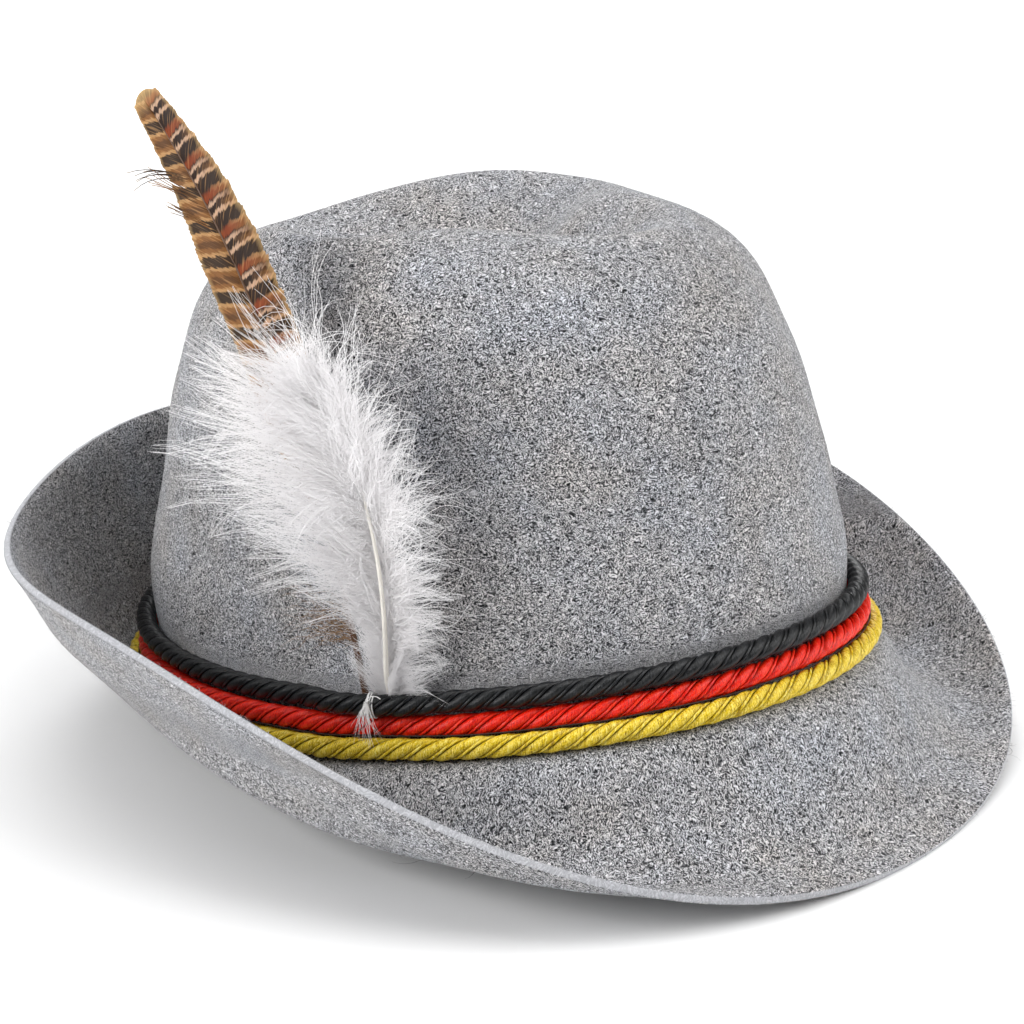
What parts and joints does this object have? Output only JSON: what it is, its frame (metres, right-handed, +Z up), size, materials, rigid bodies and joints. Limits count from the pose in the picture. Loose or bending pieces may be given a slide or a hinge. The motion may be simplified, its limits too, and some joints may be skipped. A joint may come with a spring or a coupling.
{
  "type": "tyrolean hat",
  "caption": "Felt hat with a creased crown, a brim turned down in front and up behind, twisted cords round the crown, and a barred feather with a white down plume.",
  "frame": {"origin": "on the surface that the hat rests on, under the middle of its overall box", "axes": "+Z up, -Y to the front of the hat where the brim is turned down, -X to the wearer's right side, which carries the feathers"},
  "size_m": [0.26, 0.2682, 0.1777],
  "materials": {
    "felt": "grey heather wool felt, pressed, with a soft nap and cut edges",
    "black_rayon": "black rayon cord, three twisted strands, satin",
    "red_rayon": "red rayon cord, three twisted strands, satin",
    "yellow_rayon": "yellow rayon cord, three twisted strands, satin",
    "pheasant": "barred brown and buff pheasant feather",
    "marabou": "white marabou down"
  },
  "bodies": {
    "root": {"felt_body": "felt", "cord_black": "black_rayon", "cord_red": "red_rayon", "cord_yellow": "yellow_rayon", "pheasant_feather": "pheasant", "marabou_plume": "marabou"}
  },
  "joints": []
}
